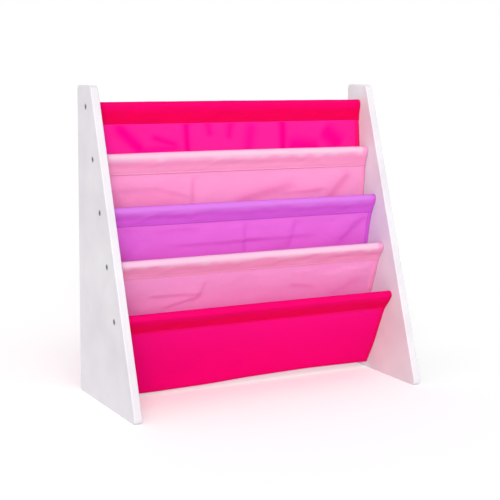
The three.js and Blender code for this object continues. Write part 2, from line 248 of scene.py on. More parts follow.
def spun_thread(name, colour):
    """Spun polyester sewing thread: matt, with its twist drawn as fine lumps."""
    material, tree = new_tree(name)
    place = add(tree, "ShaderNodeTexCoord").outputs["Object"]
    twist = add(tree, "ShaderNodeTexNoise", {"Scale": TWISTS, "Detail": 1}, {"Vector": place}).outputs["Fac"]
    tone = add(tree, "ShaderNodeMapRange", {"To Min": 0.9, "To Max": 1.04}, {"Value": twist})
    dyed = add(tree, "ShaderNodeVectorMath", {0: hex_colour(colour)[:3]}, {"Scale": tone.outputs[0]},
               operation="SCALE")
    bump = add(tree, "ShaderNodeBump", {"Strength": 0.3, "Distance": 0.0001}, {"Height": twist})
    thread = add(tree, "ShaderNodeBsdfPrincipled", {"Roughness": 0.8, "Specular IOR Level": 0.1},
                 {"Base Color": dyed.outputs[0], "Normal": bump.outputs[0]})
    add(tree, "ShaderNodeOutputMaterial", links={"Surface": thread.outputs[0]})
    return material


board_paint = satin_paint("satin_lacquer_on_fibreboard", "#D2CBD3")
rod_paint = satin_paint("satin_lacquer_on_turned_wood", "#E8E6E8")
zinc_steel = turned_metal("zinc_plated_steel", "#96989E", 0.34)
turned_brass = turned_metal("turned_brass", "#C9A45A", 0.35)
# Cloth colours: single, doubled (also the colour of the painted shade below the flaps and along dark
# creases), over a rod and with light behind it, and the share of light let through
magenta = woven_polyester("magenta_woven_polyester", "#FC006B", "#F80052", "#FC006C", "#FF8CFF", 0.52)
light_pink = woven_polyester("light_pink_woven_polyester",
                             "#FFBCE0", "#FFA8D0", "#FFDCEA", "#FFC8FC", 0.48)
purple = woven_polyester("purple_woven_polyester", "#F084EC", "#E066E2", "#E48AEE", "#FFB8FF", 0.46)
magenta_thread = spun_thread("magenta_polyester_thread", "#F20060")
pale_thread = spun_thread("pale_pink_polyester_thread", "#FFD6EA")
purple_thread = spun_thread("purple_polyester_thread", "#C458CE")

# Side-view places are vectors of the rack's Y and Z. The rack's box is centred on the origin, and its depth
# is the floor edge less what the rounding of its sharp front corner takes off.
slope = (FLOOR_EDGE - TOP_EDGE) / HEIGHT
half_corner = atan2(1, slope) / 2
BACK_Y = (FLOOR_EDGE - (CORNER_RADIUS / tan(half_corner) - CORNER_RADIUS)) / 2
FRONT_Y = BACK_Y - FLOOR_EDGE
rods = []
for i in range(RODS):
    z = HEIGHT - TOP_ROD_DROP - i * ROD_PITCH
    rods.append(Vector((FRONT_Y + slope * z + ROD_SETBACK, z)))


def facing(direction):
    """The side of a downward line that faces the front of the rack."""
    return Vector((direction.y, -direction.x))


def touch_point(start, centre, radius, side):
    """Where a line from a point touches a circle: side 1 passes behind it, and -1 in front of it."""
    reach = centre - start
    turn = side * asin(radius / reach.length)
    tangent = Matrix.Rotation(turn, 2) @ reach.normalized()
    return start + tangent * sqrt(reach.length_squared - radius ** 2)


# Each rod's cloth hangs straight to a seam: the top and bottom rods' to the back and the front of the bottom
# fold, and the dividers' to the back sheet.
fold_centre = Vector((rods[-1].x + FOLD_REACH, FOLD_HEIGHT + CAD_CLOTH / 2 + FOLD_RADIUS))
fold_back = touch_point(rods[0], fold_centre, FOLD_RADIUS, 1)
fold_front = touch_point(rods[-1], fold_centre, FOLD_RADIUS, -1)
down_back = (fold_back - rods[0]).normalized()
back_front = facing(down_back)
seams = [fold_back]
for rod in rods[1:-1]:
    run = (rod.y - POCKET_DROP - rods[0].y) / down_back.y
    seams.append(rods[0] + down_back * run + back_front * LAYER)
seams.append(fold_front)
downs = [(seam - rod).normalized() for seam, rod in zip(seams, rods)]
lengths = [(seam - rod).length for seam, rod in zip(seams, rods)]


# Side panels
def finished(bm, name):
    """A mesh in metres, with its faces pointing outwards."""
    bmesh.ops.recalc_face_normals(bm, faces=bm.faces)
    bmesh.ops.scale(bm, vec=(MM, MM, MM), verts=bm.verts)
    mesh = bpy.data.meshes.new(name)
    bm.to_mesh(mesh)
    bm.free()
    return mesh


def spun(profile):
    """A profile of (place along X, radius) turned about the X axis."""
    bm = bmesh.new()
    verts = [bm.verts.new((x, 0, radius)) for x, radius in profile]
    edges = [bm.edges.new(pair) for pair in zip(verts, verts[1:])]
    bmesh.ops.spin(bm, geom=verts + edges, cent=(0, 0, 0), axis=(1, 0, 0), angle=2 * pi, steps=ROUND_STEPS,
                   use_merge=True)
    bmesh.ops.remove_doubles(bm, verts=bm.verts, dist=SAME_POINT)
    return bm


def carved(mesh, cutter_mesh):
    """The mesh with the cutter taken out of it."""
    body = bpy.data.objects.new("body", mesh)
    cutter = bpy.data.objects.new("cutter", cutter_mesh)
    for part in (body, cutter):
        bpy.context.scene.collection.objects.link(part)
    cut = body.modifiers.new("cut", "BOOLEAN")
    cut.operation, cut.solver, cut.object = "DIFFERENCE", "EXACT", cutter
    graph = bpy.context.evaluated_depsgraph_get()
    result = bpy.data.meshes.new_from_object(body.evaluated_get(graph))
    for part in (body, cutter):
        bpy.data.objects.remove(part)
    return result


def screw_holes(outer_x, inward):
    """Cutters for a panel's five counterbored holes, each with a chamfered mouth."""
    bore, shank = HEAD_RADIUS + FIT, SHANK_RADIUS + FIT
    seat, end = HEAD_RECESS + HEAD_THICKNESS + FIT, PANEL + OVERSHOOT
    profile = [(-OVERSHOOT, 0), (-OVERSHOOT, bore + HOLE_CHAMFER), (0, bore + HOLE_CHAMFER),
               (HOLE_CHAMFER, bore), (seat, bore), (seat, shank), (end, shank), (end, 0)]
    holes = bmesh.new()
    for rod in rods:
        hole = spun(profile)
        if inward < 0:
            bmesh.ops.rotate(hole, cent=(0, 0, 0), matrix=Matrix.Rotation(pi, 3, "Z"), verts=hole.verts)
        bmesh.ops.translate(hole, vec=(outer_x, rod.x, rod.y), verts=hole.verts)
        part = bpy.data.meshes.new("hole")
        hole.to_mesh(part)
        hole.free()
        holes.from_mesh(part)
    return finished(holes, "holes")


def side_panel(name, outer_x, inward):
    """A board with rounded corners and edges; inward is 1 where the rack lies on its +X side, or else -1."""
    bm = bmesh.new()
    places = [(FRONT_Y, 0), (BACK_Y, 0), (BACK_Y, HEIGHT), (BACK_Y - TOP_EDGE, HEIGHT)]
    corners = [bm.verts.new((outer_x, y, z)) for y, z in places]
    bm.faces.new(corners)
    half_angles = [half_corner, pi / 4, pi / 4, pi / 2 - half_corner]
    for corner, half_angle in zip(corners, half_angles):
        bmesh.ops.bevel(bm, geom=[corner], offset=CORNER_RADIUS / tan(half_angle), offset_type="OFFSET",
                        segments=CORNER_STEPS, profile=0.5, affect="VERTICES", material=-1)
    grown = bmesh.ops.extrude_face_region(bm, geom=bm.faces[:])
    moved = [part for part in grown["geom"] if isinstance(part, bmesh.types.BMVert)]
    bmesh.ops.translate(bm, vec=(inward * PANEL, 0, 0), verts=moved)
    rims = [edge for edge in bm.edges if abs(edge.verts[0].co.x - edge.verts[1].co.x) < SAME_X]
    bmesh.ops.bevel(bm, geom=rims, offset=EDGE_ROUND, offset_type="OFFSET", segments=EDGE_STEPS,
                    profile=0.5, affect="EDGES", material=-1)
    mesh = carved(finished(bm, name), screw_holes(outer_x, inward))
    mesh.shade_smooth()
    panel = new_piece(name + "_painted", mesh, board_paint)
    panel.modifiers.new("even_faces", "WEIGHTED_NORMAL")
    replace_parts(panel, name)


side_panel("left_side_panel", -WIDTH / 2, 1)
side_panel("right_side_panel", WIDTH / 2, -1)


# Screws
def arc(centre, radius, start, end, steps):
    """Points of a profile along an arc, from one angle to another."""
    return [(centre[0] + radius * cos(start + (end - start) * k / steps),
             centre[1] + radius * sin(start + (end - start) * k / steps)) for k in range(steps + 1)]


def screw_mesh(name):
    """A flat round head with a hex socket, outer face near x 0 and shank along +X."""
    rim = arc((HEAD_RECESS + HEAD_ROUND, HEAD_RADIUS - HEAD_ROUND), HEAD_ROUND, pi, pi / 2, HEAD_STEPS)
    profile = [(HEAD_RECESS, 0), *rim, (HEAD_RECESS + HEAD_THICKNESS, HEAD_RADIUS),
               (HEAD_RECESS + HEAD_THICKNESS, SHANK_RADIUS), (SHANK_END - SHANK_POINT, SHANK_RADIUS),
               (SHANK_END, SHANK_RADIUS - SHANK_POINT), (SHANK_END, 0)]
    body = finished(spun(profile), name)
    socket = bmesh.new()
    reach = SOCKET_FLATS / 2 / cos(pi / SOCKET_SIDES)
    bmesh.ops.create_cone(socket, cap_ends=True, segments=SOCKET_SIDES, radius1=reach, radius2=reach,
                          depth=2 * SOCKET_DEPTH)
    bmesh.ops.rotate(socket, cent=(0, 0, 0), matrix=Matrix.Rotation(pi / 2, 3, "Y"), verts=socket.verts)
    bmesh.ops.translate(socket, vec=(HEAD_RECESS, 0, 0), verts=socket.verts)
    return carved(body, finished(socket, "socket"))


for side, outer_x in (("left", -WIDTH / 2), ("right", WIDTH / 2)):
    for i, rod in enumerate(rods):
        name = f"{side}_screw_{i + 1}"
        mesh = screw_mesh(name)
        turn = Matrix.Rotation(TOP_SCREW_TURN + NEXT_SCREW_TURN * i, 4, "X")
        if side == "right":
            turn = Matrix.Rotation(pi, 4, "Z") @ turn
        mesh.transform(Matrix.Translation(Vector((outer_x, rod.x, rod.y)) * MM) @ turn)
        mesh.shade_smooth()
        mesh.set_sharp_from_angle(angle=SHARP)
        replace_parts(new_piece(name + "_plated", mesh, zinc_steel), name)

# The rods and the threaded inserts keep their CAD meshes.
for i in range(RODS):
    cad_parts[f"rod_{i + 1}"].data.materials[0] = rod_paint
    for side in ("left", "right"):
        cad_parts[f"{side}_insert_{i + 1}"].data.materials[0] = turned_brass


# Cloth: k is a rod, from 0 at the top. A point of its cloth has x, its place across the rack, and t, how far
# it is below the rod's centre.
def eased(start, end, value):
    """0 before start and 1 after end, with a smooth step between them. Start may be above end."""
    share = np.clip((value - start) / (end - start), 0, 1)
    return share * share * (3 - 2 * share)


def ruffle(x, t, width, height, seed):
    """Smooth noise over the cloth with folds of that width and height."""
    values = [noise.noise((a / width, b / height, seed)) for a, b in zip(x.ravel(), t.ravel())]
    return np.array(values).reshape(x.shape)


def folded(k, x, t, folds):
    """Smooth noise on rod k's sleeve, with folds given as (width, height, seed of the top rod's)."""
    width, height, seed = folds
    return ruffle(x, t, width, height, seed + k)


def waver(x, width, seed):
    """Smooth noise that changes only across the cloth."""
    return ruffle(x, np.zeros_like(x), width, 1, seed)


# Creases on each rod's cloth: their two ends as (x, t), then height and width. A height below 0 turns the
# cloth away from the light, so that the crease is dark.
CREASES = [
    [((-107, 34), (-107, 96), -1.8, 3.5), ((-254, 40), (-205, 88), -1.8, 5),
     ((-181, 61), (-130, 77), -1.2, 3), ((112, 34), (111, 92), -2.2, 4),
     ((135, 43), (180, 85), 1.4, 9), ((214, 54), (250, 86), -1.6, 9),
     ((-59, 34), (-55, 60), -0.9, 4), ((-7, 34), (-14, 66), -1.0, 4), ((-209, 88), (-127, 82), -0.9, 4),
     ((40, 40), (30, 95), -0.9, 6), ((262, 40), (250, 95), 1.0, 8), ((-30, 50), (-34, 95), 0.8, 7),
     ((128, 86), (196, 94), -1.5, 9)],
    [((-107, 43), (-106, 100), -1.2, 4), ((-272, 63), (-188, 61), -1.1, 5),
     ((-188, 61), (-116, 79), -1.1, 4), ((-5, 94), (122, 66), -2.2, 7),
     ((210, 98), (258, 48), -2.4, 8), ((-271, 45), (-250, 85), -1.1, 6),
     ((95, 85), (200, 78), -1.1, 4), ((140, 36), (188, 62), 1.1, 8), ((-60, 40), (-30, 62), 0.8, 8),
     ((-300, 78), (-130, 92), -2.0, 22)],
    [((-5, 35), (2, 104), -1.3, 3.5), ((-151, 77), (36, 76), -1.0, 3), ((-270, 36), (-243, 82), -1.8, 8),
     ((113, 36), (104, 92), -1.4, 5), ((-11, 74), (150, 74), -0.9, 3), ((228, 92), (282, 38), -1.9, 7),
     ((-126, 34), (-108, 72), 0.9, 8), ((-195, 45), (-103, 42), -0.8, 5), ((150, 96), (210, 60), 1.0, 12)],
    [((-216, 74), (-112, 76), -1.0, 3), ((-183, 100), (-108, 82), -1.0, 3),
     ((-119, 90), (-103, 46), -0.9, 4), ((96, 74), (150, 83), -0.9, 4),
     ((163, 54), (274, 40), 1.2, 7), ((-268, 50), (-234, 102), -1.4, 8),
     ((-5, 42), (34, 104), 1.0, 10), ((200, 105), (262, 70), -1.2, 8)],
    [((-131, 146), (-13, 160), 0.7, 8), ((-82, 150), (-20, 140), -0.6, 7), ((200, 98), (276, 60), 1.0, 18),
     ((-220, 150), (-110, 112), -1.0, 16), ((40, 60), (60, 140), 0.7, 18)],
]
CREASE_DEPTH = 1.3
# Where a crease fades at its start and at its end, in shares of its length, and how many of its widths its
# step and its dark line reach. Of a crease with a height above 0, the cloth on its right stands forward
# where it is steeper than STEEP, or else the cloth below it.
CREASE_START, CREASE_END = (-0.2, 0.15), (1.2, 0.85)
STEP_REACH, LINE_REACH = 5, 2
STEEP = 0.7
# How deep the painted shade is along each rod's dark creases, the ones that turn the cloth away from the
# light, for a crease of DARK_RISE. All of it deepens the light that comes through, and a share of it, given
# below, deepens the cloth's own colour.
CREASE_SHADE = [1.1, 1, 0.5, 0.4, 0.2]
DARK_RISE = 2
CREASE_SHADE_IN_COLOUR = 0.4
SHADE_START = 3  # how far below the flap's edge that tone is full
# Just below each sleeve's flap, where the flap's edge shades the wall, the colour is deepened as painted
# shade: how much deeper it is there, and how far down
FLAP_SHADE = [(0, 1), (0.2, 3), (0.3, 3), (0.6, 5), (0.85, 9)]

# How deep the soft waves, the small crumples and the puckers under the stitches are on each rod's cloth
WAVES = [(2.6, 0.8, 0.6), (2.2, 0.8, 0.35), (2.0, 0.7, 0.3), (2.0, 0.7, 0.3), (1.8, 0.2, 0.1)]
# The folds of that noise: width, height and what is added to its seed. The two sizes of crumple lean, the
# finer ones are shallower, and the puckers count double.
SOFT_FOLDS, CRUMPLE_FOLDS, FINE_FOLDS, PUCKER_FOLDS = (120, 75, 0), (34, 24, 20), (15, 12, 40), (9, 45, 60)
CRUMPLE_LEAN, FINE_LEAN, FINE_SHARE, PUCKER_SHARE = 0.6, -0.4, 0.5, 2
SEED_START, SEED_STEP = 1.7, 7.3
# The puckers grow from the flap's edge and fade again. Above the flap's edge the wall is nearly flat.
PUCKERS_GROW, PUCKERS_FADE = (33, 37), (64, 42)
FLAP_SHARE, FLAP_GIVES, ROD_GIVES = 0.15, (34, 48), (8, 30)
# The main cloth is flat near the bottom fold, and a divider takes the back sheet's relief near its seam.
FOLD_FLAT, SEAM_JOIN = (2, 40), 35

# How far each cloth's side edges draw in, against the distance below the rod
SIDE_DRAW = [
    ([-9, 36, 100, 450, 545], [-0.3, -0.3, -0.4, 1.5, 4]),
    ([-9, 12, 36, 100, 165], [-0.4, 0, 0.4, -0.3, 2]),
    ([-9, 12, 34, 100, 165], [-0.4, -0.4, -0.1, -0.4, 1]),
    ([-9, 12, 34, 100, 170], [-0.4, -0.4, -0.4, -0.2, 3]),
    ([-9, 20, 36, 100, 160], [-0.4, -0.4, -0.2, -0.1, 1.5]),
]
# How far the top of each sleeve stands off its rod, and how far its front pulls in below the rod
PUFF = [0.9, 2.0, 0.6, 0.1, 1.5]
PULL = [0.4, 1.4, 1.0, 1.0, 0.4]
PUFF_UNEVEN, PUFF_FOLDS = 0.3, (40, 30, 2)
PULL_UNEVEN, PULL_WIDTH, PULL_SEED = 0.7, 40, 8.5
PULL_PLACE, PULL_REACH = 19, 7
# A sleeve is loose from this far below its rod's centre to this far above its flap's edge: how much it
# bulges in front, with two sizes of fold, the finer ones leaning, and behind
LOOSE_START, LOOSE_END = 2, 3
SLACK, SLACK_BEHIND = 0.5, 0.8
SLACK_DEPTH, SLACK_FOLDS = 1.3, (48, 22, 11.5)
FINE_SLACK_DEPTH, FINE_SLACK_FOLDS, FINE_SLACK_LEAN = 1.1, (19, 13, 31.5), 1.2
# The flap's edge: a ridge below the stitches, a groove above them, each as (height, how far below the
# stitches, reach), and the turned-in last stretch
RIDGE, GROOVE = (0.35, 0.4, 1), (-0.3, -2, 1.2)
EDGE_DROP, EDGE_LENGTH = 0.3, 1.2
# The last of the flap's edge stays as thin as single cloth.
THIN_EDGE = 0.5
# The pale band where the cloth lies on the rod: its lower edge below the rod, scallops, ripples and softness
BAND = [(8, 1.5, 0.5, 11), (4.5, 4, 3, 6.5), (5, 3, 2, 8), (4, 5, 4.5, 6), (7, 1.5, 0.5, 12)]
SCALLOP_WIDTH, SCALLOP_SEED = 55, 3.1
RIPPLE_WIDTH, RIPPLE_SEED = 21, 5
# How wide each cloth's side hems are
HEMS = [12, 12, 9, 12, 8]
# How much of the rod's paleness the side hems' extra cloth hides, and how far that change reaches
HEM_COVER, HEM_SOFTNESS = 0.75, 2


def crease(x, t, start, end, width):
    """A small step in the cloth along a line, which turns the cloth to the light from the upper left, and
    how near the line each point is. Both fade at the line's ends."""
    run, fall = end[0] - start[0], end[1] - start[1]
    length = hypot(run, fall)
    along = ((x - start[0]) * run + (t - start[1]) * fall) / length ** 2
    off = ((x - start[0]) * fall - (t - start[1]) * run) / length
    ends = eased(*CREASE_START, along) * eased(*CREASE_END, along)
    side = 1 if STEEP * fall > run else -1
    step = np.tanh(off / width) * np.exp(-(off / (STEP_REACH * width)) ** 2) * side
    return step * ends, np.exp(-(off / (LINE_REACH * width)) ** 2) * ends


def relief(k, x, t):
    """How far rod k's cloth stands in front of its flat place."""
    wave, crumple, pucker = WAVES[k]
    seed = SEED_STEP * k + SEED_START

    def folds(kind, lean=0):
        wide, tall, added = kind
        return ruffle(x + lean * t, t, wide, tall, seed + added)

    height = wave * folds(SOFT_FOLDS) + crumple * folds(CRUMPLE_FOLDS, CRUMPLE_LEAN)
    height += crumple * FINE_SHARE * folds(FINE_FOLDS, FINE_LEAN)
    puckers = pucker * PUCKER_SHARE * folds(PUCKER_FOLDS)
    height += puckers * eased(*PUCKERS_GROW, t) * eased(*PUCKERS_FADE, t)
    for start, end, rise, width in CREASES[k]:
        height += CREASE_DEPTH * rise * crease(x, t, start, end, width)[0]
    return height * (FLAP_SHARE + (1 - FLAP_SHARE) * eased(*FLAP_GIVES, t)) * eased(*ROD_GIVES, t)


def painted_crease_shade(k, x, t):
    """How much painted shade lies along rod k's dark creases, where they turn the cloth away from the light.
    """
    dark = np.zeros_like(x)
    for start, end, rise, width in CREASES[k]:
        dark = np.maximum(dark, max(0, -rise) / DARK_RISE * crease(x, t, start, end, width)[1])
    return CREASE_SHADE[k] * dark * eased(FLAP_ENDS[k], FLAP_ENDS[k] + SHADE_START, t)


def sling_relief(k, x, t):
    """The same as relief, but flat at the bottom fold, and on a divider joined to the back sheet's."""
    if k in (0, RODS - 1):
        flat_from, flat_fades = FOLD_FLAT
        return relief(k, x, t) * eased(lengths[k] - flat_from, lengths[k] - flat_fades, t)
    run = (seams[k] - rods[0]).dot(down_back) + t - lengths[k]
    joined = eased(lengths[k] - SEAM_JOIN, lengths[k], t)
    return relief(k, x, t) * (1 - joined) + sling_relief(0, x, run) * joined


def sleeve_bulge(k, x, t, role, roll, across):
    """How far the cloth of rod k's sleeve stands out of its tight place, in front, on the rod and behind."""
    flap_end, stitch = FLAP_ENDS[k], FLAP_ENDS[k] - STITCH_INSET
    loose = np.sin(pi * np.clip((t - LOOSE_START) / (flap_end - LOOSE_END - LOOSE_START), 0, 1))
    pulled = PULL[k] * (1 + PULL_UNEVEN * waver(x, PULL_WIDTH, PULL_SEED + k))
    pull = -pulled * np.exp(-((t - PULL_PLACE) / PULL_REACH) ** 2)
    slack = SLACK + SLACK_DEPTH * folded(k, x, t, SLACK_FOLDS)
    slack = slack + FINE_SLACK_DEPTH * folded(k, x + FINE_SLACK_LEAN * t, t, FINE_SLACK_FOLDS)
    ridge, groove = (height * np.exp(-((t - stitch - place) / reach) ** 2)
                     for height, place, reach in (RIDGE, GROOVE))
    edge = ridge + groove - EDGE_DROP * eased(flap_end - EDGE_LENGTH, flap_end, t)
    arch = np.sin(pi * roll) * (0.5 + 0.5 * np.sin(pi * across))
    puff = arch * (PUFF[k] + PUFF_UNEVEN * folded(k, x, t, PUFF_FOLDS))
    return (np.where(role == "flap", (slack + pull) * loose + edge, 0) + np.where(role == "rod", puff, 0)
            + np.where(role == "back", SLACK_BEHIND * loose, 0))


def rod_contact(k, x, t, role):
    """Where rod k's cloth lies on its rod: on all of its top, and down to a wavering line on both sides."""
    low, scallop, ripple, softness = BAND[k]
    edge_line = low + scallop * waver(x, SCALLOP_WIDTH, SCALLOP_SEED * k)
    edge_line = edge_line + ripple * waver(x, RIPPLE_WIDTH, RIPPLE_SEED + k)
    beside = eased(edge_line + softness, edge_line - softness, t) * np.isin(role, ("flap", "back"))
    at_hem = eased(-HEM_SOFTNESS, HEM_SOFTNESS, np.abs(x) - CLOTH_HALF + HEMS[k])
    return np.where(role == "rod", 1, beside) * (1 - HEM_COVER * at_hem)


def turned_hem(k, x, t, role):
    """Where rod k's cloth is turned in: at both sides, and at the flap's edge."""
    flap_end = FLAP_ENDS[k]
    turned_up = (role == "flap") & (t > flap_end - HEM_TURN) & (t < flap_end - THIN_EDGE)
    return (np.abs(x) > CLOTH_HALF - HEMS[k]) | turned_up


def stops(*runs):
    """Places along a path: each run is (start, end, spacing), and neighbouring runs share an end."""
    places = [runs[0][0]]
    for start, end, spacing in runs:
        count = max(1, round(abs(end - start) / spacing))
        places += [start + (end - start) * n / count for n in range(1, count + 1)]
    return places


def hang(k, hidden_spacing):
    """Rows of cloth k from its flap's edge up over the rod and down to its seam. A row is its side-view
    place, the way out of the sleeve, the front of its wall, its distance below the rod, its role, its rod
    and how far round the rod it is."""
    down, front, rod, flap_end = downs[k], facing(downs[k]), rods[k], FLAP_ENDS[k]
    wall_top = flap_end - FLAP_OVERLAP

    def row(across, below, way, role, roll=0):
        return {"place": rod + front * across + down * below, "out": way, "front": front,
                "below": below, "role": role, "k": k, "roll": roll}

    def leave(across, below, side):
        """The angle and the way out where cloth from that place meets the sleeve, in front or behind."""
        angle = atan2(below, across) - side * acos(SLEEVE_RADIUS / hypot(across, below))
        return angle, front * cos(angle) + down * sin(angle)

    front_angle, front_way = leave(LAYER, flap_end, 1)
    back_angle, back_way = leave(0, wall_top, -1)
    top = SLEEVE_RADIUS * sin(front_angle)
    rows = []
    edge_top = flap_end - EDGE_ROWS
    for below in stops((flap_end, edge_top, EDGE_ROW), (edge_top, top, SEEN_ROW)):
        share = (below - top) / (flap_end - top)
        across = LAYER * share + SLEEVE_RADIUS * cos(front_angle) * (1 - share)
        rows.append(row(across, below, front_way, "flap"))
    sweep = front_angle - (back_angle - 2 * pi)
    for turned in stops((0, sweep, ROD_ROW / SLEEVE_RADIUS))[1:-1]:
        angle = front_angle - turned
        way = front * cos(angle) + down * sin(angle)
        rows.append(row(SLEEVE_RADIUS * cos(angle), SLEEVE_RADIUS * sin(angle), way, "rod", turned / sweep))
    back_top = SLEEVE_RADIUS * sin(back_angle)
    for below in stops((back_top, wall_top, hidden_spacing)):
        share = (below - back_top) / (wall_top - back_top)
        rows.append(row(SLEEVE_RADIUS * cos(back_angle) * (1 - share), below, back_way, "back"))
    seen_end = lengths[k] if k == RODS - 1 else SEEN_END
    runs = [(wall_top, PUCKER_ROWS_END, PUCKER_ROW), (PUCKER_ROWS_END, seen_end, SEEN_ROW)]
    if k < RODS - 1:
        runs.append((seen_end, lengths[k], hidden_spacing))
    rows += [row(0, below, front, "wall") for below in stops(*runs)[1:]]
    return rows


def divider_rows(k):
    """A divider's rows, with the hem that is sewn to the back sheet."""
    rows = hang(k, HIDDEN_ROW)
    for extra in stops((0, DIVIDER_HEM, HEM_ROW))[1:]:
        rows.append({"place": seams[k] + down_back * extra, "out": back_front, "front": back_front,
                     "below": lengths[k] + extra, "role": "hem", "k": k, "roll": 0})
    return rows


def main_rows():
    """The main cloth's rows: the top sleeve, back sheet, bottom fold, front sheet and front sleeve."""
    front_rows = hang(RODS - 1, HIDDEN_ROW)
    rows = hang(0, BACK_ROW)
    start = fold_back - fold_centre
    end = fold_front - fold_centre
    first, last = atan2(start.y, start.x), atan2(end.y, end.x) - 2 * pi
    for n in range(1, FOLD_STEPS):
        angle = first + (last - first) * n / FOLD_STEPS
        way = Vector((cos(angle), sin(angle)))
        k = 0 if n < FOLD_STEPS / 2 else RODS - 1
        rows.append({"place": fold_centre + way * FOLD_RADIUS, "out": way, "front": way,
                     "below": lengths[k], "role": "fold", "k": k, "roll": 0})
    return rows + front_rows[::-1]


def sagged(across):
    """How much lower the bottom fold hangs, from the left edge at 0 to the right one at 1."""
    places = np.linspace(0, 1, len(FOLD_SAG_SHARES))
    fine = np.linspace(0, 1, SAG_SAMPLES)
    curve = np.interp(fine, places, FOLD_SAG_SHARES)
    window = np.hanning(SAG_SMOOTHING)
    margin = SAG_SMOOTHING // 2
    padded = np.concatenate([np.full(margin, curve[0]), curve, np.full(margin, curve[-1])])
    return FOLD_SAG * np.interp(across, fine, np.convolve(padded, window / window.sum(), "valid"))


def stitches(name, marks, material):
    """The visible stitches of one cloth as one piece: a mark is the place of a stitch on the cloth, the way
    it runs and the way out of the cloth."""
    bm = bmesh.new()
    bmesh.ops.create_uvsphere(bm, u_segments=STITCH_SIDES, v_segments=STITCH_RINGS, radius=1,
                              matrix=Matrix.Diagonal((STITCH_LENGTH / 2, THREAD / 2, THREAD / 2, 1)))
    one = bpy.data.meshes.new("one_stitch")
    bm.to_mesh(one)
    bm.free()
    bm = bmesh.new()
    for place, along, out in marks:
        along = along.normalized()
        side = out.cross(along).normalized()
        turn = Matrix((along, side, along.cross(side))).transposed().to_4x4()
        copy = one.copy()
        copy.transform(Matrix.Translation(place) @ turn)
        bm.from_mesh(copy)
        bpy.data.meshes.remove(copy)
    mesh = finished(bm, name)
    mesh.shade_smooth()
    return new_piece(name, mesh, material)


def cloth_seams(own_rods):
    """The seams of the cloth on these rods. A seam is the rod whose cloth it is on, the cloth's role there,
    whether it runs "across" or "down", where it lies, the span it covers, and how far its thread is in front
    of the cloth's middle."""
    lift = (HEM_CLOTH + THREAD) / 2 - THREAD_SUNK
    thin_lift = (CLOTH + THREAD) / 2 - THREAD_SUNK
    ends = (-CLOTH_HALF + SEAM_END, CLOTH_HALF - SEAM_END)
    seams_here = []
    for k in own_rods:
        stitch = FLAP_ENDS[k] - STITCH_INSET
        down = (FLAP_ENDS[k] + HEM_SEAM_TOP, lengths[k] - HEM_SEAM_FOOT)
        seams_here.append((k, "flap", "across", stitch, ends, lift))
        seams_here.append((k, "back", "across", stitch, ends, -thin_lift))
        for side in (-1, 1):
            hem_line = side * (CLOTH_HALF - HEMS[k] + HEM_STITCH)
            seams_here.append((k, "wall", "down", hem_line, down, lift))
            seams_here.append((k, "wall", "down", hem_line, down, -lift))
    if 0 in own_rods:
        for seam in seams[1:-1]:
            run = (seam - rods[0]).dot(down_back)
            for extra in (DIVIDER_STITCH, DIVIDER_HEM - DIVIDER_STITCH):
                seams_here.append((0, "wall", "across", run + extra, ends, -thin_lift))
    return seams_here


def seam_marks(rows, flat_x, points, seams_here):
    """Marks along these seams, for the cloth with these rows and points."""
    marks = []
    for k, role, way, at, span, lift in seams_here:
        own = sorted((row["below"], j) for j, row in enumerate(rows)
                     if row["k"] == k and row["role"] == role)
        below = np.array([t for t, j in own])
        places = points[[j for t, j in own]]
        front = Vector((0, *rows[own[-1][1]]["front"]))

        def spot(x, t):
            n = int(np.clip(np.searchsorted(below, t), 1, len(below) - 1))
            share = min(1, max(0, (t - below[n - 1]) / (below[n] - below[n - 1])))
            line = places[n - 1] * (1 - share) + places[n] * share
            return Vector([np.interp(x, flat_x, line[:, axis]) for axis in range(3)])

        # The places 1 mm before and after the stitch give the way it runs.
        for run in stops((*span, STITCH_PITCH)):
            here, there = [(run + step, at) if way == "across" else (at, run + step) for step in (-1, 1)]
            before, after = spot(*here), spot(*there)
            out = front * (1 if lift > 0 else -1)
            marks.append(((before + after) / 2 + out * abs(lift), after - before, out))
    return marks


def cloth_grid(name, points, flat, painted):
    """A grid through points in rows and columns, with their places on the flat cloth and their attributes.
    Also gives the row and the column of each vertex."""
    rows, columns = points.shape[0] - 1, points.shape[1] - 1
    half = 0.5
    bm = bmesh.new()
    bmesh.ops.create_grid(bm, x_segments=columns, y_segments=rows, size=half)
    mesh = bpy.data.meshes.new(name)
    bm.to_mesh(mesh)
    bm.free()
    grid = np.zeros(len(mesh.vertices) * 3)
    mesh.vertices.foreach_get("co", grid)
    grid = grid.reshape(-1, 3)
    i = np.rint((grid[:, 0] + half) * columns).astype(int)
    j = np.rint((grid[:, 1] + half) * rows).astype(int)
    mesh.vertices.foreach_set("co", points[j, i].ravel())
    corners = np.zeros(len(mesh.loops), int)
    mesh.loops.foreach_get("vertex_index", corners)
    mesh.uv_layers.new(name="flat_cloth").data.foreach_set("uv", flat[j, i][corners].ravel())
    for key, values in painted.items():
        mesh.attributes.new(key, "FLOAT", "POINT").data.foreach_set("value", values[j, i].astype(float))
    mesh.shade_smooth()
    mesh.update()
    return mesh, (j, i)


